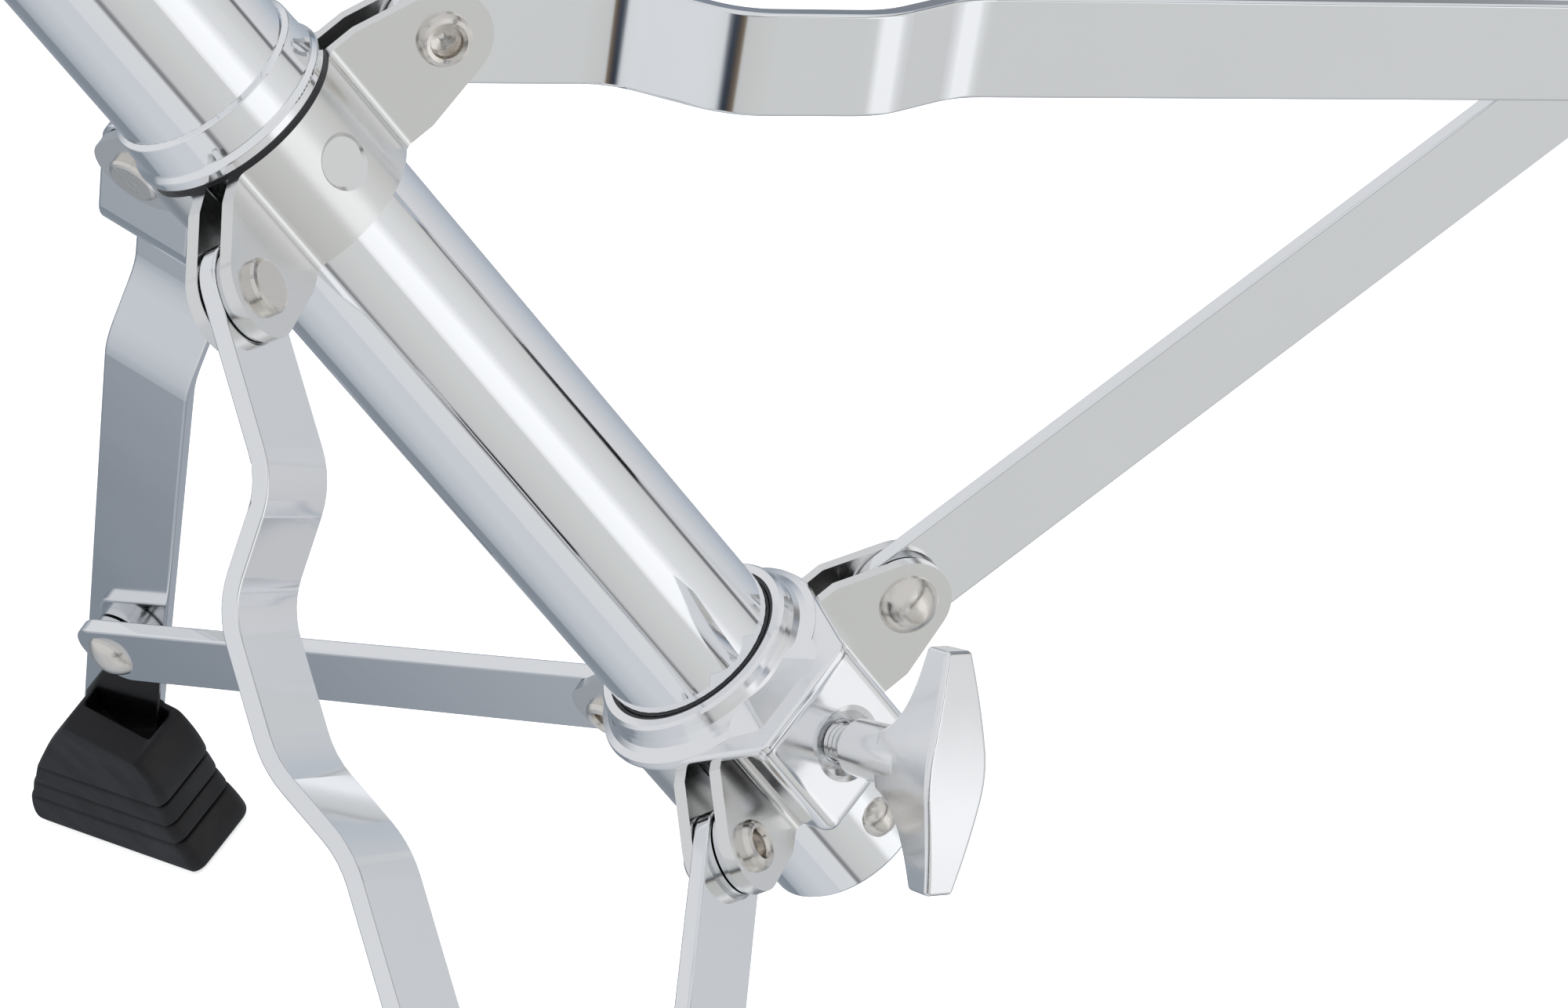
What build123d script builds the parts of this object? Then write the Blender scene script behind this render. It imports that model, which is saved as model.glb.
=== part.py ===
from build123d import *
import math
import os

# Folding snare drum stand: braced tripod, sliding collar, telescoping column, tilter and three-arm basket.
# Millimetres, +Z up, origin on the floor at the axis of the column.

# ---- driving dimensions -------------------------------------------------
TUBE_R, TUBE_WALL = 14.3, 1.4            # base tube, 28.6 mm outside
TUBE_BOTTOM, TUBE_TOP = 42.0, 300.0
UP_R, UP_WALL = 11.1, 1.2                # upper tube, 22.2 mm outside
UP_BOTTOM, UP_TOP = 165.0, 402.0

LEG_AZ = (-30.0, -150.0, 90.0)           # directions of legs 1, 2, 3
WING_AZ = -97.0                          # direction of the clamp screws
PIVOT_R, PIVOT_Z = 30.0, 200.0           # leg pivots on the fixed bracket
COL_R, COL_Z = 30.2, 71.6                # brace pivots on the sliding collar
JOINT_R, JOINT_Z = 174.4, 65.6           # where leg and brace are riveted
LEG_W, LEG_T, LEG_LEN = 16.0, 2.8, 274.0
BRACE_W, BRACE_T = 14.5, 3.0
BRACE_OFF = (0.6, -0.6, 0.6)             # sideways place of each brace between its ears
LEG_OFF, LEG_BULGE = -4.4, -12.2         # sideways set of the lower leg and of its bulge

EAR_IN, EAR_T = 2.0, 2.0                 # upper ears
CEAR_IN = 2.25                           # lower ears
PIN_R = 3.0                              # rivet shanks
RUN = 0.06                               # running clearance on the radius

HUB_Z, HUB_R = 480.0, 17.0               # arm pivots
TILT_Z = 425.0
ARM_R = 190.0                            # radius of the upright ends of the arms

THETA = math.atan2(JOINT_R - PIVOT_R, PIVOT_Z - JOINT_Z)
LEG_J = math.hypot(JOINT_R - PIVOT_R, PIVOT_Z - JOINT_Z)

os.makedirs("parts", exist_ok=True)


def save(name, shape):
    solids = list(shape.solids())
    body = solids[0] if len(solids) == 1 else Compound(children=solids)
    body.label = name
    export_step(body, f"parts/{name}.step")


def face_xz(pts, radii=None):
    line = Polyline(*pts, close=True) if radii is None else FilletPolyline(*pts, radius=radii, close=True)
    return make_face(Plane.XZ * line)


def turn(pts, radii=None):
    return revolve(face_xz(pts, radii), axis=Axis.Z)


def slab(face, y0, y1):
    return Pos(0, (y0 + y1) / 2, 0) * extrude(face, amount=(y1 - y0) / 2, both=True)


def on_y(r, z, pts):
    # a turned piece whose own axis lies along +Y through (r, 0, z)
    return Plane(origin=(r, 0, z), x_dir=(1, 0, 0), z_dir=(0, 1, 0)) * turn(pts)


def on_x(z, pts, y=0.0):
    # a turned piece whose own axis lies along +X at height z
    return Plane(origin=(0, y, z), x_dir=(0, 1, 0), z_dir=(1, 0, 0)) * turn(pts)


def bar_y(r, z, rad, y0, y1):
    return on_y(r, z, [(0, y0), (rad, y0), (rad, y1), (0, y1)])


def bar_x(z, rad, x0, x1):
    return on_x(z, [(0, x0), (rad, x0), (rad, x1), (0, x1)])


def spin(az, shape):
    return Rot(0, 0, az) * shape


def soft(shape, edges, *radii):
    for rad in radii:
        try:
            out = fillet(edges, rad)
            if out.is_valid and len(out.solids()) == len(shape.solids()):
                return out
        except Exception:
            continue
    print("edge left sharp", radii)
    return shape


def dome(rad, high):
    # a rivet head: the cap of a ball with a very small flat on its crown, underside on z = 0
    ball = (rad * rad + high * high) / (2 * high)
    crown, side = [(x, high - ball + math.sqrt(ball * ball - x * x)) for x in (0.3, rad * 0.6)]
    outline = Line((0, 0), (rad, 0)) + ThreePointArc((rad, 0), side, crown) + Line(crown, (0, crown[1])) \
        + Line((0, crown[1]), (0, 0))
    return revolve(make_face(Plane.XZ * outline), axis=Axis.Z)


def dome_y(r, z, y, rad, high, way):
    return Plane(origin=(r, y, z), x_dir=(1, 0, 0), z_dir=(0, way, 0)) * dome(rad, high)


def ribbon(pts, bends, thick):
    # closed outline of a strip seen edge on; bends are centre-line radii at the inner points
    h, n = thick / 2, len(pts)
    dirs = []
    for (x0, y0), (x1, y1) in zip(pts, pts[1:]):
        d = math.hypot(x1 - x0, y1 - y0)
        dirs.append(((x1 - x0) / d, (y1 - y0) / d))
    sides, radii = ([], []), ([], [])
    for k, s in enumerate((1, -1)):
        for i, (x, y) in enumerate(pts):
            if i in (0, n - 1):
                dx, dy = dirs[0] if i == 0 else dirs[-1]
                sides[k].append((x - s * dy * h, y + s * dx * h))
                radii[k].append(0)
                continue
            (ax, ay), (bx, by) = dirs[i - 1], dirs[i]
            nx, ny = -(ay + by), ax + bx
            m = math.hypot(nx, ny)
            nx, ny = nx / m, ny / m
            c = -ay * nx + ax * ny
            sides[k].append((x + s * nx * h / c, y + s * ny * h / c))
            left = ax * by - ay * bx > 0
            radii[k].append(bends[i - 1] + (-s if left else s) * h)
    outline = sides[0] + sides[1][::-1]
    return make_face(FilletPolyline(*outline, radius=radii[0] + radii[1][::-1], close=True))


# ---- base tube and its fixed leg bracket --------------------------------
tube = turn([(TUBE_R - TUBE_WALL, TUBE_BOTTOM + 0.5), (TUBE_R - TUBE_WALL, TUBE_TOP - 0.4),
             (TUBE_R - TUBE_WALL + 0.4, TUBE_TOP), (TUBE_R, TUBE_TOP), (TUBE_R, TUBE_BOTTOM + 0.6),
             (TUBE_R - 0.5, TUBE_BOTTOM), (TUBE_R - TUBE_WALL + 0.4, TUBE_BOTTOM)])
CLAMP_Z = 296.0
tube -= spin(WING_AZ, bar_x(CLAMP_Z, 3.4, 10, 16))
stop_z, stop_r = 49.6, 1.6
stops = []
for az in (-97.0, 83.0):
    head = on_x(stop_z, [(0, 12.0), (stop_r, 12.0), (stop_r, TUBE_R - 0.32), (3.2, TUBE_R - 0.32), (3.2, 14.5), (0, 14.5)])
    head += Plane(origin=(14.5, 0, stop_z), x_dir=(0, 1, 0), z_dir=(1, 0, 0)) * dome(3.2, 2.0)
    stops.append(spin(az, head))
    tube -= spin(az, bar_x(stop_z, stop_r, 10, 16))
stops = [s - turn([(0, 40), (TUBE_R, 40), (TUBE_R, 60), (0, 60)]) for s in stops]
save("base_tube", tube)
save("tube_stop_rivets", Compound(children=[s.solids()[0] for s in stops]))


def bracket_plate(i, r_in, wall, ear_in, z0, z1, pivot_r, pivot_z, end_r):
    # one pressed plate: an ear beside leg i, a wrap round the column, an ear beside leg i+1
    a, b = LEG_AZ[i], LEG_AZ[(i + 1) % 3]
    ring = turn([(r_in, z0), (r_in + wall, z0), (r_in + wall, z1), (r_in, z1)])
    outline = make_hull((Pos(pivot_r, pivot_z) * Circle(end_r)).edges()
                        + (Pos(r_in + 3.0, (z0 + z1) / 2) * Rectangle(7.0, z1 - z0)).edges())
    side = Plane.XZ * outline
    ear_a = spin(a, slab(side, -ear_in - EAR_T, -ear_in))
    ear_b = spin(b, slab(side, ear_in, ear_in + EAR_T))
    keep_a = spin(a, Pos(0, -100 - ear_in, pivot_z) * Box(200, 200, 80))
    keep_b = spin(b, Pos(0, 100 + ear_in, pivot_z) * Box(200, 200, 80))
    core = turn([(0, z0 - 20), (r_in, z0 - 20), (r_in, z1 + 20), (0, z1 + 20)])
    plate = (ring + ear_a + ear_b) & keep_a & keep_b
    plate = plate - core
    hole = bar_y(pivot_r, pivot_z, PIN_R, -20, 20)
    return plate - spin(a, hole) - spin(b, hole)


for i in range(3):
    plate = bracket_plate(i, TUBE_R, 2.0, EAR_IN, PIVOT_Z - 9.8, PIVOT_Z + 9.8, PIVOT_R, PIVOT_Z, 7.5)
    mid = LEG_AZ[i] - 60
    plate -= spin(mid, on_x(PIVOT_Z, [(0, 15.5), (3.6, 15.5), (4.8, 16.6), (4.8, 20), (0, 20)]))
    plate = soft(plate, plate.edges().filter_by(Axis.Z).group_by(SortBy.LENGTH)[-1], 1.6, 1.2, 0.6)
    save(f"leg_plate_{i + 1}", plate)

top = PIVOT_Z + 9.8
save("bracket_gasket", turn([(TUBE_R, top), (15.7, top), (15.7, top + 0.9), (TUBE_R, top + 0.9)]))
save("bracket_ferrule", turn([(TUBE_R, top + 0.9), (16.1, top + 0.9), (16.1, top + 2.3), (15.4, top + 3.2),
                              (15.2, top + 8.4), (TUBE_R, top + 8.8)], [0, 0.3, 0.5, 0.6, 0.3, 0]))

PIVOT_RIVET = [(0, 5.5), (3.5, 5.5), (4.0, 5.3), (4.25, 4.8), (4.25, 4.0), (PIN_R, 4.0), (PIN_R, -4.0),
               (4.1, -4.0), (4.1, -4.6), (3.7, -5.4), (3.1, -5.7), (2.5, -5.5), (2.25, -4.9), (2.25, -2.6), (0, -2.0)]
save("leg_pivot_rivets", Compound(children=[spin(az, on_y(PIVOT_R, PIVOT_Z, PIVOT_RIVET)).solids()[0]
                                            for az in LEG_AZ]))

# ---- legs: flat strips with a sideways bulge ----------------------------
u = (math.sin(THETA), 0, -math.cos(THETA))
nrm = (math.cos(THETA), 0, math.sin(THETA))
pivot = (PIVOT_R, 0, PIVOT_Z)
edge_on = Plane(origin=pivot, x_dir=u, z_dir=nrm)
face_on = Plane(origin=pivot, x_dir=u, z_dir=(0, -1, 0))

LEG_PATH = [(-LEG_W / 2 - 1, 0), (27.6, 0), (42.0, LEG_BULGE), (65.0, LEG_BULGE), (80.5, LEG_OFF), (LEG_LEN, LEG_OFF)]
LEG_BENDS = [13.0, 14.0, 17.0, 18.0]


def leg_strip(grow=0.0, length=LEG_LEN):
    path = LEG_PATH[:-1] + [(length, LEG_OFF)]
    strip = edge_on * extrude(ribbon(path, LEG_BENDS, LEG_T + 2 * grow), amount=LEG_W / 2 + grow, both=True)
    return strip


leg = leg_strip()
shape = Circle(LEG_W / 2) + Pos(LEG_LEN / 2, 0) * Rectangle(LEG_LEN, LEG_W)
leg = leg & (face_on * extrude(shape, amount=30, both=True))
leg = soft(leg, leg.edges().filter_by(lambda e: e.length > 5), 0.5)
leg -= bar_y(PIVOT_R, PIVOT_Z, PIN_R + RUN, -20, 20)
leg -= bar_y(JOINT_R, JOINT_Z, 2.6, -20, 20)

wash_in, wash_out = LEG_T / 2, LEG_T / 2 + 0.4
leg_washers = [on_y(PIVOT_R, PIVOT_Z, [(PIN_R + RUN, s * wash_in), (7.0, s * wash_in), (7.0, s * wash_out),
                                       (PIN_R + RUN, s * wash_out)]) for s in (1, -1)]

inner = LEG_OFF + LEG_T / 2
outer = LEG_OFF - LEG_T / 2
leg_rivet = on_y(JOINT_R, JOINT_Z, [(0, inner), (2.6, inner), (2.6, outer), (4.2, outer), (4.2, outer - 0.6),
                                    (3.7, outer - 1.4), (3.0, outer - 1.7), (2.4, outer - 1.4),
                                    (2.2, outer - 0.9), (2.2, outer + 0.9), (0, outer + 1.2)])

# rubber boot: rounded levels (height, inner end, outer end, half width), stepped into ribs, with a slanted mouth
BOOT = [[(0, 208.2, 264.8, 7.7), (1.6, 205.0, 266.4, 8.6), (9.8, 203.0, 259.0, 8.3)],
        [(9.8, 203.6, 257.8, 7.9), (10.4, 202.2, 257.6, 8.1), (15.6, 200.2, 251.6, 7.9)],
        [(15.6, 200.8, 250.6, 7.5), (16.2, 199.2, 250.4, 7.8), (22.4, 196.0, 242.6, 7.6)],
        [(22.4, 196.8, 241.4, 7.2), (23.2, 194.8, 241.2, 7.5), (30.0, 190.6, 231.4, 7.3), (37.6, 189.6, 219.6, 7.1),
         (44.2, 194.4, 208.6, 7.0)]]
RIM_R, RIM_Z, RIM_TILT = 190.2, 37.5, 18.0
BOOT_R, BOOT_OFF, BOOT_TURN = 208.5, -1.8, -6.0


def boot_level(z, r0, r1, half):
    # the boot sits a little askew on the strip, turned about its inner end
    return Pos(BOOT_R, BOOT_OFF, z) * Rot(0, 0, BOOT_TURN) * Pos((r0 + r1) / 2 - BOOT_R, 0) \
        * RectangleRounded(r1 - r0, 2 * half, 3.2)


boot = None
for layer in BOOT:
    for low, high in zip(layer, layer[1:]):
        step = loft([boot_level(*low), boot_level(*high)])
        boot = step if boot is None else boot + step
rim = Plane(origin=(RIM_R, 0, RIM_Z), x_dir=(math.cos(math.radians(RIM_TILT)), 0, math.sin(math.radians(RIM_TILT))),
            z_dir=(-math.sin(math.radians(RIM_TILT)), 0, math.cos(math.radians(RIM_TILT))))
boot -= rim * Pos(0, 0, 20) * Box(120, 60, 40)
boot -= leg_strip(0.0)
mouth = edge_on * (Pos(LEG_J + 20, -1.2, 0) * Box(48, 9.4, 16.4))
boot -= mouth & (rim * Pos(0, 0, 12) * Box(120, 60, 40))
boot = boot.solids().sort_by(SortBy.VOLUME)[-1]

for i, az in enumerate(LEG_AZ):
    k = i + 1
    save(f"leg_{k}", spin(az, leg))
    save(f"leg_washers_{k}", spin(az, Compound(children=[w.solids()[0] for w in leg_washers])))
    save(f"leg_joint_rivet_{k}", spin(az, leg_rivet))
    save(f"foot_{k}", spin(az, boot))

# ---- braces --------------------------------------------------------------
BR_LEN = math.hypot(JOINT_R - COL_R, JOINT_Z - COL_Z)
BR_DIR = math.atan2(JOINT_Z - COL_Z, JOINT_R - COL_R)
slot = Pos(BR_LEN / 2, 0) * SlotCenterToCenter(BR_LEN, BRACE_W)
brace_plane = Plane(origin=(COL_R, 0, COL_Z), x_dir=(math.cos(BR_DIR), 0, math.sin(BR_DIR)), z_dir=(0, -1, 0))
brace = brace_plane * extrude(slot, amount=BRACE_T / 2, both=True)
brace = soft(brace, brace.edges(), 0.5)
brace -= bar_y(COL_R, COL_Z, PIN_R + RUN, -20, 20)
brace -= bar_y(JOINT_R, JOINT_Z, 2.6, -20, 20)
hb = BRACE_T / 2
brace_rivet = on_y(JOINT_R, JOINT_Z, [(0, -hb), (2.6, -hb), (2.6, hb), (4.7, hb), (4.7, hb + 0.3), (0, hb + 0.3)])
brace_rivet += dome_y(JOINT_R, JOINT_Z, hb + 0.3, 4.7, 2.3, 1)
for i, az in enumerate(LEG_AZ):
    k, off = i + 1, BRACE_OFF[i]
    save(f"brace_{k}", spin(az, Pos(0, off, 0) * brace))
    save(f"brace_joint_rivet_{k}", spin(az, Pos(0, off, 0) * brace_rivet))
    lo = inner + 0.3
    save(f"brace_spacer_{k}", spin(az, on_y(JOINT_R, JOINT_Z, [(0, lo), (5.6, lo), (5.6, off - hb), (0, off - hb)])))

# ---- sliding collar ------------------------------------------------------
HUB_OUT, BUSH_R = 16.6, 15.0
C_BOT, C_FL, C_TOP = 61.4, 82.5, 88.8
BOSS_IN, BOSS_OUT, BOSS_Z0, BOSS_Z1 = 18.6, 24.5, 62.0, 83.6
BOSS_W, BOSS_SHIFT = 22.6, -0.6
COL_SCREW_Z = 71.3
casting = turn([(BUSH_R, C_BOT), (HUB_OUT, C_BOT), (HUB_OUT, C_FL), (19.4, C_FL), (20.0, C_FL + 0.6), (19.7, C_FL + 1.3),
                (18.5, C_FL + 1.8), (17.6, C_FL + 2.5), (17.1, C_FL + 3.5), (16.9, C_FL + 4.6), (16.8, C_TOP - 0.5),
                (16.3, C_TOP), (BUSH_R, C_TOP)])
boss_top = Rot(0, 0, WING_AZ) * Pos(20.2, BOSS_SHIFT) * RectangleRounded(8.6, BOSS_W, 2.0)
brim = Pos(0, 0, C_FL) * extrude(make_hull(Circle(19.9).edges() + boss_top.edges()), amount=1.2)
brim = soft(brim, brim.faces().sort_by(Axis.Z)[-1].edges(), 0.7, 0.5)
low_edge = Circle(18.2).edges() + (Rot(0, 0, WING_AZ) * Pos(18.4, BOSS_SHIFT)
                                   * RectangleRounded(8.0, BOSS_W - 4.0, 2.0)).edges()
high_edge = Circle(16.0).edges() + (Rot(0, 0, WING_AZ) * Pos(14.0, BOSS_SHIFT)
                                    * RectangleRounded(4.0, BOSS_W - 12.0, 1.5)).edges()
apron = Pos(0, 0, C_FL + 0.6) * loft([make_hull(low_edge), Pos(0, 0, 3.0) * make_hull(high_edge)])
boss = Pos((BOSS_IN + BOSS_OUT) / 2, BOSS_SHIFT, (BOSS_Z0 + BOSS_Z1) / 2) \
    * Box(BOSS_OUT - BOSS_IN, BOSS_W, BOSS_Z1 - BOSS_Z0)
boss = soft(boss, boss.edges().filter_by(Axis.X), 2.6)
boss = soft(boss, boss.faces().sort_by(Axis.X)[-1].edges(), 2.2, 1.6)
neck = Pos(17.0, 0, 71.8) * Box(3.6, 13.0, 11.6)
bore = turn([(0, 0), (BUSH_R, 0), (BUSH_R, 120), (0, 120)])
casting = casting + brim + apron - bore
casting = casting + (spin(WING_AZ, boss) + spin(WING_AZ, neck) - bore)
casting -= spin(WING_AZ, bar_x(COL_SCREW_Z, 3.05, 10, 30))
casting -= spin(WING_AZ, on_x(COL_SCREW_Z, [(0, 22.4), (3.05, 22.4), (3.6, 23.0), (5.2, 24.1), (6.2, 24.55), (6.2, 26), (0, 26)]))
save("collar_casting", casting)
save("collar_bush", turn([(TUBE_R + 0.1, C_BOT - 0.8), (15.9, C_BOT - 0.8), (15.9, C_BOT), (BUSH_R, C_BOT),
                          (BUSH_R, C_TOP - 0.2), (TUBE_R + 0.1, C_TOP - 0.2)]))
opening = spin(WING_AZ, Pos(20, 0, 71.8) * Box(12, 13.6, 12.2))
for i in range(3):
    plate = bracket_plate(i, HUB_OUT, 1.8, CEAR_IN, C_BOT, C_FL, COL_R, COL_Z, 7.2)
    if i == 0:
        plate -= opening
    plate = soft(plate, plate.edges().filter_by(Axis.Z).group_by(SortBy.LENGTH)[-1], 1.2, 0.5)
    save(f"collar_plate_{i + 1}", plate)

e_out = CEAR_IN + EAR_T
LOWER_RIVET = on_y(COL_R, COL_Z, [(0, -e_out - 0.4), (4.85, -e_out - 0.4), (4.85, -e_out), (PIN_R, -e_out), (PIN_R, e_out),
                                  (4.1, e_out), (4.1, e_out + 0.6), (3.7, e_out + 1.4), (3.1, e_out + 1.7),
                                  (2.5, e_out + 1.5), (2.25, e_out + 0.9), (2.25, e_out - 1.4), (0, e_out - 2.0)])
LOWER_RIVET += dome_y(COL_R, COL_Z, -e_out - 0.4, 4.85, 2.9, -1)
save("brace_pivot_rivets", Compound(children=[spin(az, LOWER_RIVET).solids()[0] for az in LEG_AZ]))
wash = []
for az, off in zip(LEG_AZ, BRACE_OFF):
    s = -1 if off > 0 else 1
    a, b = sorted((s * CEAR_IN, s * (CEAR_IN - 1.15)))
    wash.append(spin(az, on_y(COL_R, COL_Z, [(PIN_R, a), (6.6, a), (6.6, b), (PIN_R, b)])).solids()[0])
save("brace_pivot_washers", Compound(children=wash))


# ---- T-handled clamp screws ----------------------------------------------
def threads(z, x0, x1, major, minor, pitch=1.0):
    pts, x = [(0, x0), (minor, x0)], x0
    while x + pitch <= x1 + 1e-6:
        pts += [(minor, x + 0.1), (major, x + pitch / 2 - 0.05), (major, x + pitch / 2 + 0.05), (minor, x + pitch - 0.1)]
        x += pitch
    pts += [(minor, x1 + 1.5), (0, x1 + 1.5)]
    return on_x(z, pts)


WING_HALF, WING_OUT, WING_SWEEP = 18.8, 24.0, 1.8


def t_wing(z, x_face, roll):
    # cast T: a round stem whose arms flare out of it in hollow curves, with a long diamond face at the outside
    c = x_face + WING_OUT
    stem = on_x(z, [(0, x_face), (4.1, x_face), (4.5, x_face + 0.5), (5.0, x_face + 14), (0, x_face + 14)])
    hollow = [(c - 15.0, 4.6), (c - 12.6, 5.7), (c - 10.2, 8.2), (c - 8.3, 12.6), (c - 7.2, WING_HALF)]
    back = [(x, -y) for x, y in hollow]
    tip = c - WING_SWEEP
    ring = Spline(*hollow) + Line(hollow[-1], (tip, WING_HALF)) \
        + ThreePointArc((tip, WING_HALF), (c, 0), (tip, -WING_HALF)) + Line((tip, -WING_HALF), back[-1]) \
        + Spline(*back[::-1]) + Line(back[0], hollow[0])
    lengthwise = make_face(ring)
    diamond = make_face(FilletPolyline((-WING_HALF - 1, -2.6), (-WING_HALF - 1, 2.6), (0, 6.3), (WING_HALF + 1, 2.6),
                                       (WING_HALF + 1, -2.6), (0, -6.3), radius=[0, 0, 24, 0, 0, 24], close=True))
    inward = Plane(origin=(c, 0, 0), x_dir=(0, 1, 0), z_dir=(-1, 0, 0))
    bar = extrude(lengthwise, amount=10, both=True) & extrude(inward * diamond, amount=15.5, taper=6)
    bar = soft(bar, bar.edges(), 1.1, 0.8, 0.5)
    return (Pos(0, 0, z) * (Rot(roll, 0, 0) * bar)) + stem


save("collar_screw", spin(WING_AZ, threads(COL_SCREW_Z, 15.7, 28.7, 2.95, 2.5)))
wing = t_wing(COL_SCREW_Z, 27.0, 42)
wing -= bar_x(COL_SCREW_Z, 2.5, 20, 30.2)
wing -= bar_x(COL_SCREW_Z, 2.95, 20, 28.7)
save("collar_wing", spin(WING_AZ, wing))

# ---- height clamp on top of the base tube --------------------------------
BUSH_OUT = TUBE_R - TUBE_WALL
clamp = turn([(TUBE_R, 284), (17.4, 284), (18.2, 284.8), (18.2, 306), (17.4, 311), (16.2, 316), (15.4, 316.8),
              (BUSH_OUT, 316.8), (BUSH_OUT, TUBE_TOP), (TUBE_R, TUBE_TOP)])
cboss = Pos(20.0, 0, CLAMP_Z) * Box(10.0, 22.0, 18.0)
cboss = soft(cboss, cboss.edges().filter_by(Axis.X), 3.2)
cboss = soft(cboss, cboss.faces().sort_by(Axis.X)[-1].edges(), 1.6)
clamp += spin(WING_AZ, cboss)
clamp -= turn([(0, 280), (TUBE_R, 280), (TUBE_R, TUBE_TOP), (0, TUBE_TOP)])
clamp -= spin(WING_AZ, bar_x(CLAMP_Z, 3.05, 10, 30))
save("height_clamp", clamp)
save("clamp_screw", spin(WING_AZ, threads(CLAMP_Z, 13.2, 31.5, 2.95, 2.5)))
wing = t_wing(CLAMP_Z, 30.0, 15)
wing -= bar_x(CLAMP_Z, 2.5, 20, 33.0)
wing -= bar_x(CLAMP_Z, 2.95, 20, 31.5)
save("clamp_wing", spin(WING_AZ, wing))
save("clamp_bush", turn([(UP_R + 0.08, 268), (BUSH_OUT - 0.08, 268), (BUSH_OUT - 0.08, 317.1), (15.0, 317.1),
                         (15.0, 318.2), (14.4, 318.8), (UP_R + 0.08, 318.8)]))

# ---- telescoping upper tube and tilter ------------------------------------
save("upper_tube", turn([(UP_R - UP_WALL, UP_BOTTOM + 0.5), (UP_R - UP_WALL, UP_TOP), (UP_R, UP_TOP),
                         (UP_R, UP_BOTTOM + 0.6), (UP_R - 0.5, UP_BOTTOM), (UP_R - UP_WALL + 0.4, UP_BOTTOM)]))
base = turn([(UP_R, 380), (12.9, 380), (13.4, 380.8), (13.4, 402), (11.8, 408.5), (0, 408.5), (0, UP_TOP), (UP_R, UP_TOP)])
disc_b = bar_x(TILT_Z, 15.0, -8.6, -0.15)
post = Pos(-4.375, 0, 414.0) * Box(8.45, 20.0, 22.0)
base = base + disc_b + post
base -= bar_x(TILT_Z, 3.95, -20, 20)
base = soft(base, base.edges().filter_by(GeomType.CIRCLE).filter_by(lambda e: abs(e.radius - 15) < .01 and e.center().X < -5),
            1.2)
save("tilter_base", base)
bolt = threads(TILT_Z, 12.0, 20.0, 3.9, 3.4) + bar_x(TILT_Z, 3.95, -8.6, 12.05)
bolt += on_x(TILT_Z, [(0, -12.4), (2.5, -12.2), (5.0, -11.3), (6.8, -9.6), (7.2, -8.6), (0, -8.6)])
save("tilter_bolt", bolt)

head = bar_x(TILT_Z, 15.0, 0.15, 8.6) + Pos(4.375, 0, 436) * Box(8.45, 17.0, 16.0) \
    + Pos(0, 0, 444.5) * Box(17.2, 17.0, 5.0) \
    + turn([(0, 442), (9.6, 442), (9.6, 453.5), (8.8, 455), (0, 455)])
head -= bar_x(TILT_Z, 3.95 + RUN, -20, 20)
head -= turn([(0, 443), (5.0, 443), (5.0, 470), (0, 470)])
save("tilter_head", head)
wing = t_wing(TILT_Z, 9.0, 0)
wing += on_x(TILT_Z, [(0, 9.0), (7.6, 9.0), (7.9, 9.4), (7.9, 10.4), (7.2, 11.0), (5.6, 13.0), (0, 13.0)])
wing -= bar_x(TILT_Z, 3.95 + RUN, 0, 22.2)
save("tilter_wing", wing)

# ---- basket ----------------------------------------------------------------
pts, z = [(0, 443), (5.0, 443), (5.0, 455)], 455.0
while z < 488:
    pts += [(4.45, z + 0.15), (4.45, z + 0.35), (5.0, z + 0.95), (5.0, z + 1.05)]
    z += 1.25
pts += [(4.45, z + 0.1), (4.45, z + 0.6), (4.45, 494), (0, 494)]
save("basket_rod", turn(pts))

hub = turn([(5.0, 470.0), (26.0, 470.0), (26.0, 475.9), (22.5, 475.9), (22.5, 473.6), (13.0, 473.6), (13.0, 489.0),
            (12.2, 489.8), (5.0, 489.8)])
for az in LEG_AZ:
    hub += spin(az, Pos(15.0, 0, 481.0) * Box(16.0, 15.0, 17.0))
hub += turn([(5.0, 470.0), (13.0, 470.0), (13.0, 489.0), (5.0, 489.0)])
for az in LEG_AZ:
    hub -= spin(az, Pos(20.4, 0, 483.6) * Box(20.0, 6.6, 20.0))
    hub -= spin(az, bar_y(HUB_R, HUB_Z, 2.5, -12, 12))
    hub -= spin(az, Pos(30, 0, 483) * Box(14.0, 30, 14.0))
hub -= turn([(0, 460), (5.0, 460), (5.0, 500), (0, 500)])
save("basket_hub", hub)
save("arm_pivot_pins", Compound(children=[spin(az, bar_y(HUB_R, HUB_Z, 2.5, -7.5, 7.5)
                                                + on_y(HUB_R, HUB_Z, [(0, 7.5), (3.7, 7.5), (3.4, 8.4), (2.0, 8.9), (0, 9.0)])
                                                + on_y(HUB_R, HUB_Z, [(0, -7.5), (3.7, -7.5), (3.4, -8.4), (2.0, -8.9),
                                                                      (0, -9.0)])).solids()[0] for az in LEG_AZ]))
save("rod_cap", turn([(4.45, 489.8), (9.0, 489.8), (9.0, 493.0), (8.0, 496.2), (5.0, 498.2), (0, 498.8), (0, 494),
                      (4.45, 494)]))

nut = turn([(5.0 + 0.1, 456.0), (11.5, 456.0), (12.0, 457.0), (19.4, 458.2), (20.0, 459.0), (20.0, 467.6), (19.2, 468.6),
            (12.0, 469.6), (5.0 + 0.1, 469.6)])
for k in range(18):
    nut -= spin(20 * k, Pos(21.2, 0, 463) * Cylinder(2.2, 20))
save("basket_nut", nut)

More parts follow.
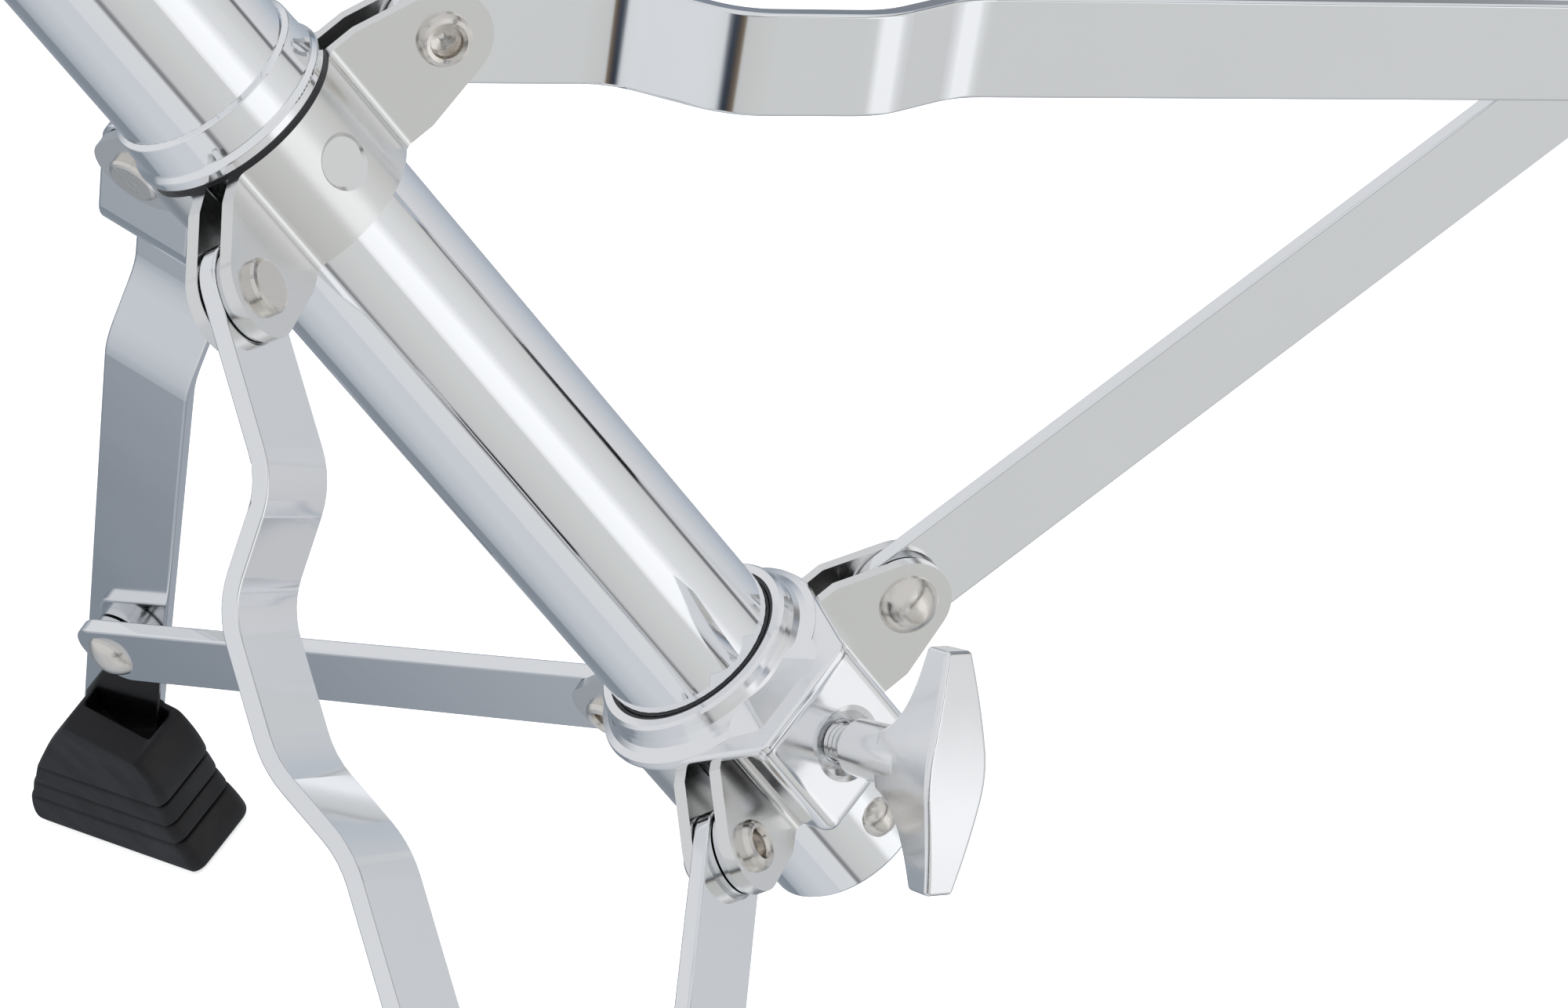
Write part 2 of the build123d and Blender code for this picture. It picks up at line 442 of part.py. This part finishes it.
path = [(HUB_R + 1.0, 0, HUB_Z), (ARM_R - 12, 0, HUB_Z + 8.0), (ARM_R, 0, HUB_Z + 20.0), (ARM_R, 0, HUB_Z + 62.0)]
line = FilletPolyline(*path, radius=[12.0, 12.0])
arm = sweep(Plane(origin=line @ 0, z_dir=line % 0) * Circle(4.0), path=line)
tab = Plane.XZ * (Pos(HUB_R, HUB_Z) * Circle(6.0) + Pos(HUB_R + 5.5, HUB_Z + 0.3) * Rectangle(11.0, 8.0))
arm += slab(tab, -3.0, 3.0)
arm -= bar_y(HUB_R, HUB_Z, 2.5 + RUN, -12, 12)
clear = Pos(HUB_R - 4.7, 0, HUB_Z) * Box(3.0, 20, 20)
side_cut = [Pos(HUB_R + 4.0, s * 8.0, HUB_Z) * Box(20.0, 10.0, 20.0) for s in (1, -1)]
arm = arm - clear - side_cut[0] - side_cut[1]
arm = arm.solids().sort_by(SortBy.VOLUME)[-1]

grip = Pos(ARM_R, 0, 0) * turn([(0, 500.0), (8.6, 500.0), (8.6, 541.0), (7.6, 545.6), (5.0, 548.2), (0, 549.0)])
ledge = Pos(181.0, 0, 499.4) * Box(29.0, 17.2, 10.0)
ledge = soft(ledge, ledge.edges().filter_by(Axis.Z), 4.0)
grip = grip + ledge
grip -= Pos(ARM_R, 0, 0) * Pos(-10.6, 0, 508.4) * Box(6.0, 30, 7.0)
core = sweep(Plane(origin=line @ 0, z_dir=line % 0) * Circle(4.0), path=line)
grip -= core
grip = grip.solids().sort_by(SortBy.VOLUME)[-1]
for i, az in enumerate(LEG_AZ):
    save(f"arm_{i + 1}", spin(az, arm))
    save(f"grip_{i + 1}", spin(az, grip))
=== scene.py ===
import math

import bmesh
import bpy
from mathutils import Matrix, Vector


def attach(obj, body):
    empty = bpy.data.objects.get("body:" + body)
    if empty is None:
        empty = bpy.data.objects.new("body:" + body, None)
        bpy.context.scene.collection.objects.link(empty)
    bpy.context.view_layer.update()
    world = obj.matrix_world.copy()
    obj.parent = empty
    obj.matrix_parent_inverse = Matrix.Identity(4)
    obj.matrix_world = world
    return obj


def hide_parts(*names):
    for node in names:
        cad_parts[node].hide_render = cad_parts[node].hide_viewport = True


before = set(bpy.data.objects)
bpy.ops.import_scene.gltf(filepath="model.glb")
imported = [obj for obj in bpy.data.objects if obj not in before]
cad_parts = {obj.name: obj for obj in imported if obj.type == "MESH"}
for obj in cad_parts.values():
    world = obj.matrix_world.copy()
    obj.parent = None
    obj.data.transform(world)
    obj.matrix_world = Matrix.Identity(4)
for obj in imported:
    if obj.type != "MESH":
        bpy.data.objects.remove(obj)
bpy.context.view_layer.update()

# ---- Camera and room -----------------------------------------------------
# The camera looks down on the collar from the front left, turned on its side so that the column runs
# from the upper left to the lower right. No cords belong to this object.
lens_data = bpy.data.cameras.new("stand_camera")
lens_data.sensor_width, lens_data.lens = 36.0, 127.46
lens_data.clip_start, lens_data.clip_end = 0.05, 30.0
stand_camera = bpy.data.objects.new("stand_camera", lens_data)
bpy.context.collection.objects.link(stand_camera)
camera_right = (0.50473, -0.68020, -0.53159)
camera_up = (0.76224, 0.06206, 0.64431)
camera_back = (-0.40527, -0.73040, 0.54980)
camera_place = (-0.32631, -0.63975, 0.57035)
camera_turn = Matrix((camera_right, camera_up, camera_back)).transposed().to_4x4()
stand_camera.matrix_world = Matrix.Translation(camera_place) @ camera_turn
bpy.context.scene.camera = stand_camera
bpy.context.scene.view_settings.view_transform = "Standard"

# A white room: the camera sees plain white. The plating sees the pale walls of a studio, set out round
# the compass with one bright panel and two thin dark gaps, a dark table edge at eye level in front, and
# a pale ceiling.
room = bpy.data.worlds.new("studio")
bpy.context.scene.world = room
room.use_nodes = True
room_nodes, room_links = room.node_tree.nodes, room.node_tree.links
room_nodes.clear()
room_out = room_nodes.new("ShaderNodeOutputWorld")
look = room_nodes.new("ShaderNodeTexCoord")
split = room_nodes.new("ShaderNodeSeparateXYZ")
room_links.new(look.outputs["Generated"], split.inputs[0])
compass = room_nodes.new("ShaderNodeMath")
compass.operation = "ARCTAN2"
room_links.new(split.outputs["Y"], compass.inputs[0])
room_links.new(split.outputs["X"], compass.inputs[1])
share = room_nodes.new("ShaderNodeMapRange")
share.inputs["From Min"].default_value = -math.pi
share.inputs["From Max"].default_value = math.pi
room_links.new(compass.outputs[0], share.inputs["Value"])
walls = room_nodes.new("ShaderNodeValToRGB")
room_links.new(share.outputs["Result"], walls.inputs["Fac"])
wall_tones = [  # bearing in degrees, red, green, blue
    (0, 0.60, 0.62, 0.65), (14, 0.52, 0.56, 0.61), (30, 0.44, 0.48, 0.54), (62, 0.36, 0.39, 0.44),
    (96, 0.24, 0.27, 0.31), (112.5, 0.23, 0.26, 0.30), (115.5, 0.38, 0.41, 0.45),
    (134, 0.52, 0.55, 0.59), (160, 0.62, 0.64, 0.68),
    (186, 0.70, 0.72, 0.74), (203, 0.72, 0.73, 0.74), (206, 0.22, 0.22, 0.23), (209, 0.26, 0.26, 0.27),
    (212, 0.58, 0.58, 0.58), (236, 0.64, 0.65, 0.64), (252, 0.66, 0.67, 0.67), (260, 1.00, 1.01, 1.02),
    (280, 1.05, 1.06, 1.08), (292, 0.76, 0.77, 0.78), (322, 0.66, 0.67, 0.66), (328, 0.60, 0.60, 0.60),
    (330, 0.16, 0.16, 0.17), (333, 0.18, 0.18, 0.19), (336, 0.70, 0.70, 0.72),
]
rise = room_nodes.new("ShaderNodeMapRange")
rise.inputs["From Min"].default_value = -1.0
rise.inputs["From Max"].default_value = 1.0
room_links.new(split.outputs["Z"], rise.inputs["Value"])


def bearing(degrees):
    # where a bearing falls on the compass ramps, which start at due west and run once round
    return ((degrees + 180) % 360) / 360


def fill_ramp(node, stops):
    # sets a colour ramp from (place, red, green, blue) stops
    stops = sorted(stops)
    for place, red, green, blue in stops[1:-1]:
        node.color_ramp.elements.new(place).color = (red, green, blue, 1.0)
    for end, stop in ((0, stops[0]), (-1, stops[-1])):
        node.color_ramp.elements[end].position = stop[0]
        node.color_ramp.elements[end].color = (*stop[1:], 1.0)


fill_ramp(walls, [(bearing(degrees), *tone) for degrees, *tone in wall_tones])
low_stops = [(0.0, 0.85, 0.85, 0.85), (0.2, 1.0, 1.0, 1.0)]
high_stops = [(0.56, 1.0, 1.0, 1.0), (0.72, 1.15, 1.15, 1.15), (0.82, 1.5, 1.5, 1.5), (1.0, 1.55, 1.55, 1.55)]
plain_wall = room_nodes.new("ShaderNodeValToRGB")
fill_ramp(plain_wall, low_stops + high_stops)
table_edge = room_nodes.new("ShaderNodeValToRGB")
edge_stops = [(0.438, 1.0, 1.0, 1.0), (0.452, 0.34, 0.27, 0.20), (0.47, 0.20, 0.16, 0.13),
              (0.49, 0.10, 0.10, 0.11), (0.512, 0.14, 0.19, 0.27), (0.525, 0.55, 0.60, 0.66)]
fill_ramp(table_edge, low_stops + edge_stops + high_stops)
where_edge = room_nodes.new("ShaderNodeValToRGB")
edge_share = [(15, 0.9), (40, 0.3), (60, 0.0), (120, 0.0), (188, 0.0), (202, 1.0), (290, 1.0), (340, 0.7)]
fill_ramp(where_edge, [(bearing(degrees), part, part, part) for degrees, part in edge_share])
room_links.new(share.outputs["Result"], where_edge.inputs["Fac"])
height = room_nodes.new("ShaderNodeMix")
height.data_type = "RGBA"
room_links.new(rise.outputs["Result"], plain_wall.inputs["Fac"])
room_links.new(rise.outputs["Result"], table_edge.inputs["Fac"])
room_links.new(where_edge.outputs["Color"], height.inputs["Factor"])
room_links.new(plain_wall.outputs["Color"], height.inputs["A"])
room_links.new(table_edge.outputs["Color"], height.inputs["B"])
walls_by_height = room_nodes.new("ShaderNodeMix")
walls_by_height.data_type = "RGBA"
walls_by_height.blend_type = "MULTIPLY"
walls_by_height.inputs["Factor"].default_value = 1.0
room_links.new(walls.outputs["Color"], walls_by_height.inputs["A"])
room_links.new(height.outputs["Result"], walls_by_height.inputs["B"])
ceiling_share = room_nodes.new("ShaderNodeMapRange")
ceiling_share.inputs["From Min"].default_value = 0.56
ceiling_share.inputs["From Max"].default_value = 0.70
room_links.new(rise.outputs["Result"], ceiling_share.inputs["Value"])
under_ceiling = room_nodes.new("ShaderNodeMix")
under_ceiling.data_type = "RGBA"
under_ceiling.inputs["B"].default_value = (0.74, 0.75, 0.77, 1.0)
room_links.new(ceiling_share.outputs["Result"], under_ceiling.inputs["Factor"])
room_links.new(walls_by_height.outputs["Result"], under_ceiling.inputs["A"])
plating_sees = room_nodes.new("ShaderNodeBackground")
room_links.new(under_ceiling.outputs["Result"], plating_sees.inputs["Color"])
fill = room_nodes.new("ShaderNodeBackground")
fill.inputs["Color"].default_value = (0.95, 0.97, 1.0, 1.0)
fill.inputs["Strength"].default_value = 0.45
backdrop_white = room_nodes.new("ShaderNodeBackground")
backdrop_white.inputs["Color"].default_value = (1.0, 1.0, 1.0, 1.0)
ray = room_nodes.new("ShaderNodeLightPath")
glossy_mix = room_nodes.new("ShaderNodeMixShader")
room_links.new(ray.outputs["Is Glossy Ray"], glossy_mix.inputs["Fac"])
room_links.new(fill.outputs[0], glossy_mix.inputs[1])
room_links.new(plating_sees.outputs[0], glossy_mix.inputs[2])
camera_mix = room_nodes.new("ShaderNodeMixShader")
room_links.new(ray.outputs["Is Camera Ray"], camera_mix.inputs["Fac"])
room_links.new(glossy_mix.outputs[0], camera_mix.inputs[1])
room_links.new(backdrop_white.outputs[0], camera_mix.inputs[2])
room_links.new(camera_mix.outputs[0], room_out.inputs["Surface"])

# Floor: a wide sheet of white paper, so bright that the stand's soft shadow on it clips to white.
floor_form = bmesh.new()
half_floor = 6.0
bmesh.ops.create_grid(floor_form, x_segments=4, y_segments=4, size=half_floor)
floor_mesh = bpy.data.meshes.new("paper_floor")
floor_form.to_mesh(floor_mesh)
floor_form.free()
paper_floor = bpy.data.objects.new("paper_floor", floor_mesh)
bpy.context.collection.objects.link(paper_floor)
paper_floor.visible_glossy = False
paper = bpy.data.materials.new("white_paper")
paper.use_nodes = True
paper_nodes, paper_links = paper.node_tree.nodes, paper.node_tree.links
paper_nodes.clear()
paper_out = paper_nodes.new("ShaderNodeOutputMaterial")
paper_shade = paper_nodes.new("ShaderNodeBsdfDiffuse")
paper_shade.inputs["Color"].default_value = (0.9, 0.9, 0.9, 1.0)
paper_glow = paper_nodes.new("ShaderNodeEmission")
paper_glow.inputs["Color"].default_value = (1.0, 1.0, 1.0, 1.0)
paper_glow.inputs["Strength"].default_value = 0.62
paper_ray = paper_nodes.new("ShaderNodeLightPath")
paper_glow_on = paper_nodes.new("ShaderNodeMixShader")
paper_dark = paper_nodes.new("ShaderNodeEmission")
paper_dark.inputs["Strength"].default_value = 0.0
paper_links.new(paper_ray.outputs["Is Camera Ray"], paper_glow_on.inputs["Fac"])
paper_links.new(paper_dark.outputs[0], paper_glow_on.inputs[1])
paper_links.new(paper_glow.outputs[0], paper_glow_on.inputs[2])
paper_add = paper_nodes.new("ShaderNodeAddShader")
paper_links.new(paper_shade.outputs[0], paper_add.inputs[0])
paper_links.new(paper_glow_on.outputs[0], paper_add.inputs[1])
paper_links.new(paper_add.outputs[0], paper_out.inputs["Surface"])
floor_mesh.materials.append(paper)

# Lamps: three large soft panels, high on the left, high on the right in front, and high behind the stand.
lit_point = Vector((0.0, 0.0, 0.15))
for panel_name, place, size, power in (
    ("panel_left", (-1.6, -0.6, 1.9), 1.6, 9.0),
    ("panel_right", (1.0, -1.7, 1.5), 1.4, 32.0),
    ("panel_back", (0.2, 1.8, 1.8), 1.6, 14.0),
):
    panel_data = bpy.data.lights.new(panel_name, "AREA")
    panel_data.shape = "SQUARE"
    panel_data.size = size
    panel_data.energy = power
    panel = bpy.data.objects.new(panel_name, panel_data)
    bpy.context.collection.objects.link(panel)
    aim = lit_point - Vector(place)
    panel.matrix_world = Matrix.Translation(place) @ aim.to_track_quat("-Z", "Y").to_matrix().to_4x4()
    panel.visible_glossy = False

# ---- Base tube -----------------------------------------------------------
# Drawn steel tube, nickelled and chromed, with a rolled lower lip and one stop rivet each side that keeps
# the collar on. It carries everything else.


def finish_material(name, tint, metallic, roughness, grain_scale, rough_range, bump, bump_scale):
    # a plated, moulded or rubber finish: cloudy tint and gloss with a fine bump, read from Object coordinates
    tint_fade, relief_depth, cloud_low, cloud_high = 0.06, 0.0002, 0.3, 0.7
    made = bpy.data.materials.new(name)
    made.use_nodes = True
    nodes, links = made.node_tree.nodes, made.node_tree.links
    shader = nodes["Principled BSDF"]
    shader.inputs["Metallic"].default_value = metallic
    place = nodes.new("ShaderNodeTexCoord")

    def noise(scale, detail):
        made_noise = nodes.new("ShaderNodeTexNoise")
        made_noise.inputs["Scale"].default_value = scale
        made_noise.inputs["Detail"].default_value = detail
        links.new(place.outputs["Object"], made_noise.inputs["Vector"])
        return made_noise.outputs["Fac"]

    clouds = noise(grain_scale, 4.0)
    shade = nodes.new("ShaderNodeMapRange")
    shade.inputs["From Min"].default_value = cloud_low
    shade.inputs["From Max"].default_value = cloud_high
    shade.inputs["To Min"].default_value = roughness
    shade.inputs["To Max"].default_value = roughness + rough_range
    links.new(clouds, shade.inputs["Value"])
    links.new(shade.outputs["Result"], shader.inputs["Roughness"])
    tone = nodes.new("ShaderNodeMix")
    tone.data_type = "RGBA"
    tone.inputs["A"].default_value = (*[c * (1.0 - tint_fade) for c in tint], 1.0)
    tone.inputs["B"].default_value = (*tint, 1.0)
    links.new(clouds, tone.inputs["Factor"])
    links.new(tone.outputs["Result"], shader.inputs["Base Color"])
    relief = nodes.new("ShaderNodeBump")
    relief.inputs["Strength"].default_value = bump
    relief.inputs["Distance"].default_value = relief_depth
    links.new(noise(bump_scale, 3.0), relief.inputs["Height"])
    links.new(relief.outputs["Normal"], shader.inputs["Normal"])
    return made


def plate_node(node, material):
    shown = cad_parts[node]
    shown.data.materials.clear()
    shown.data.materials.append(material)


tube_chrome = finish_material("tube_chrome", (0.93, 0.94, 0.955), 1.0, 0.03, 22.0, 0.03, 0.05, 60.0)
plate_node("base_tube", tube_chrome)
rivet_nickel = finish_material("rivet_nickel", (0.80, 0.765, 0.72), 1.0, 0.16, 900.0, 0.12, 0.15, 1400.0)
plate_node("tube_stop_rivets", rivet_nickel)

# ---- Fixed leg bracket ---------------------------------------------------
# Three pressed steel plates, satin nickel, wrapped round the tube with an ear on each side of every leg.
pressed_nickel = finish_material("pressed_nickel", (0.84, 0.84, 0.83), 1.0, 0.15, 60.0, 0.10, 0.06, 260.0)
for number in (1, 2, 3):
    plate_node(f"leg_plate_{number}", pressed_nickel)
plate_node("leg_pivot_rivets", rivet_nickel)

# ---- Ring above the bracket ----------------------------------------------
# A thin black nylon ring and a short chromed ferrule that hide the top edges of the plates.
black_nylon = finish_material("black_nylon", (0.022, 0.022, 0.025), 0.0, 0.42, 500.0, 0.12, 0.2, 1500.0)
plate_node("bracket_gasket", black_nylon)
plate_node("bracket_ferrule", tube_chrome)

# ---- Legs ----------------------------------------------------------------
# Flat steel strips, pressed sideways into a bulge that clears the collar when folded, then chromed.
strip_chrome = finish_material("strip_chrome", (0.90, 0.91, 0.925), 1.0, 0.05, 30.0, 0.04, 0.08, 45.0)
washer_steel = finish_material("washer_steel", (0.78, 0.79, 0.80), 1.0, 0.14, 700.0, 0.10, 0.12, 1500.0)
for number in (1, 2, 3):
    plate_node(f"leg_{number}", strip_chrome)
    plate_node(f"leg_washers_{number}", washer_steel)
    plate_node(f"leg_joint_rivet_{number}", rivet_nickel)

# ---- Rubber boots --------------------------------------------------------
# Moulded black rubber with stepped ribs round the inner end and a slanted mouth, pushed over the end of
# each leg a little askew. Levels give height, inner end, outer end and half width in millimetres along the
# leg, and in the mouth a shift across as well.
boot_rubber = finish_material("boot_rubber", (0.007, 0.007, 0.008), 0.0, 0.46, 120.0, 0.16, 0.3, 900.0)
boot_rubber.node_tree.nodes["Principled BSDF"].inputs["Specular IOR Level"].default_value = 0.3
mm = 0.001
boot_across, boot_along, boot_askew = -1.8, 208.5, -6.0
boot_sides, boot_corner, boot_smoothing = 40, 2.6, 2
boot_levels = [
    (0.0, 208.6, 264.0, 7.5), (0.15, 207.4, 265.0, 7.9), (0.8, 205.8, 266.0, 8.35),
    (2.2, 204.8, 266.0, 8.5), (5.5, 203.9, 263.4, 8.45), (9.0, 203.2, 259.8, 8.3),
    (9.5, 203.2, 259.2, 8.2), (9.8, 204.0, 258.0, 7.8), (10.2, 203.8, 257.6, 7.75),
    (10.5, 202.4, 257.4, 8.05), (11.0, 202.0, 257.0, 8.05), (15.0, 200.5, 252.4, 7.85),
    (15.4, 200.6, 251.8, 7.75), (15.7, 201.4, 250.8, 7.35), (16.1, 201.2, 250.4, 7.35),
    (16.4, 199.4, 250.1, 7.7), (17.0, 198.8, 249.5, 7.7), (21.8, 196.3, 243.4, 7.55),
    (22.2, 196.4, 242.9, 7.45), (22.5, 197.3, 241.8, 7.05), (22.9, 197.0, 241.4, 7.05),
    (23.3, 195.1, 241.1, 7.45), (24.0, 194.3, 240.2, 7.45), (29.0, 191.3, 232.6, 7.25),
    (34.0, 189.8, 225.2, 7.05),
]
boot_mouth = [
    (40.3, 189.9, 209.2, 6.9), (40.6, 190.5, 208.6, 6.5), (40.6, 191.4, 207.8, 3.4, -2.2),
    (40.3, 191.7, 207.5, 3.1, -2.3), (33.5, 197.6, 214.0, 2.9, -2.3),
]
rim_tilt = math.tan(math.radians(18.0))


def ring_step(form, top, old, new, tilt=0.0):
    # rings the top face of a moulding with new sides and takes it to the next level's centre, length and width;
    # an inset lays the sides down in the same order each run, which an extrusion doesn't
    bmesh.ops.inset_individual(form, faces=[top])
    verts = list(top.verts)
    old_centre = Vector(((old[1] + old[2]) / 2, boot_across + sum(old[4:]), old[0])) * mm
    new_centre = Vector(((new[1] + new[2]) / 2, boot_across + sum(new[4:]), new[0])) * mm
    stretch = ((new[2] - new[1]) / (old[2] - old[1]), new[3] / old[3], 1.0)
    bmesh.ops.scale(form, vec=stretch, space=Matrix.Translation(-old_centre), verts=verts)
    bmesh.ops.translate(form, vec=new_centre - old_centre, verts=verts)
    lean = Matrix.Identity(4)
    lean[2][0] = tilt
    bmesh.ops.transform(form, matrix=lean, space=Matrix.Translation(-new_centre), verts=verts)


def turn_form(form, degrees, centre=(0.0, 0.0, 0.0)):
    # turns a whole moulding about an upright line
    bmesh.ops.rotate(form, cent=centre, matrix=Matrix.Rotation(math.radians(degrees), 3, "Z"), verts=form.verts)


def finish_piece(name, form, material):
    # makes a moulding into a piece, gives it its finish and rounds it over
    bmesh.ops.recalc_face_normals(form, faces=form.faces)
    mesh = bpy.data.meshes.new(name)
    form.to_mesh(mesh)
    form.free()
    for face in mesh.polygons:
        face.use_smooth = True
    mesh.materials.append(material)
    piece = bpy.data.objects.new(name, mesh)
    bpy.context.collection.objects.link(piece)
    rounded = piece.modifiers.new("rounded", "SUBSURF")
    rounded.levels = rounded.render_levels = boot_smoothing
    return piece


for number, direction in ((1, -30.0), (2, -150.0), (3, 90.0)):
    form = bmesh.new()
    bmesh.ops.create_circle(form, segments=boot_sides, radius=1.0, cap_ends=True)
    turn_form(form, 180 / boot_sides)
    _, inner_end, outer_end, half_width = boot_levels[0]
    half_length, middle = (outer_end - inner_end) / 2, (inner_end + outer_end) / 2
    for vert in form.verts:
        along = vert.co.x * boot_corner + math.copysign(half_length - boot_corner, vert.co.x)
        across = vert.co.y * boot_corner + math.copysign(half_width - boot_corner, vert.co.y)
        vert.co = Vector((along + middle, across + boot_across, 0.0)) * mm
    top = next(iter(form.faces))
    for below, above in zip(boot_levels, boot_levels[1:]):
        ring_step(form, top, below, above)
    ring_step(form, top, boot_levels[-1], boot_mouth[0], rim_tilt)
    for below, above in zip(boot_mouth, boot_mouth[1:]):
        ring_step(form, top, below, above)
    bmesh.ops.edgeloop_fill(form, edges=[edge for edge in form.edges if edge.is_boundary])
    turn_form(form, boot_askew, (boot_along * mm, boot_across * mm, 0.0))
    turn_form(form, direction)
    boot = finish_piece(f"rubber_boot_{number}", form, boot_rubber)
    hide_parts(f"foot_{number}")
    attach(boot, f"leg_{number}")

# ---- Braces --------------------------------------------------------------
# Flat chromed strips with round ends, riveted to the legs over a spacer.
for number in (1, 2, 3):
    plate_node(f"brace_{number}", strip_chrome)
    plate_node(f"brace_joint_rivet_{number}", rivet_nickel)
    plate_node(f"brace_spacer_{number}", washer_steel)

# ---- Sliding collar ------------------------------------------------------
# Chromed zinc casting with a flared lip and a square boss, lined with a nylon bush; three pressed plates
# wrap it and hold the braces on domed rivets.
cast_chrome = finish_material("cast_chrome", (0.93, 0.935, 0.945), 1.0, 0.11, 90.0, 0.07, 0.12, 160.0)
plate_node("collar_casting", cast_chrome)
plate_node("collar_bush", black_nylon)
for number in (1, 2, 3):
    plate_node(f"collar_plate_{number}", pressed_nickel)
plate_node("brace_pivot_rivets", rivet_nickel)
plate_node("brace_pivot_washers", washer_steel)

# ---- Clamp screws --------------------------------------------------------
# Six millimetre steel screws with cast T handles.
for node in ("collar_wing", "clamp_wing", "tilter_wing"):
    plate_node(node, cast_chrome)
for node in ("collar_screw", "clamp_screw", "tilter_bolt"):
    plate_node(node, washer_steel)

# ---- Column, tilter and basket -------------------------------------------
# Height clamp, telescoping tube, tilter and the three-arm basket with its rubber grips.
for node in ("height_clamp", "tilter_base", "tilter_head", "basket_hub", "basket_nut", "rod_cap"):
    plate_node(node, cast_chrome)
plate_node("clamp_bush", black_nylon)
plate_node("upper_tube", tube_chrome)
plate_node("basket_rod", washer_steel)
plate_node("arm_pivot_pins", rivet_nickel)
for number in (1, 2, 3):
    plate_node(f"arm_{number}", tube_chrome)
    plate_node(f"grip_{number}", boot_rubber)
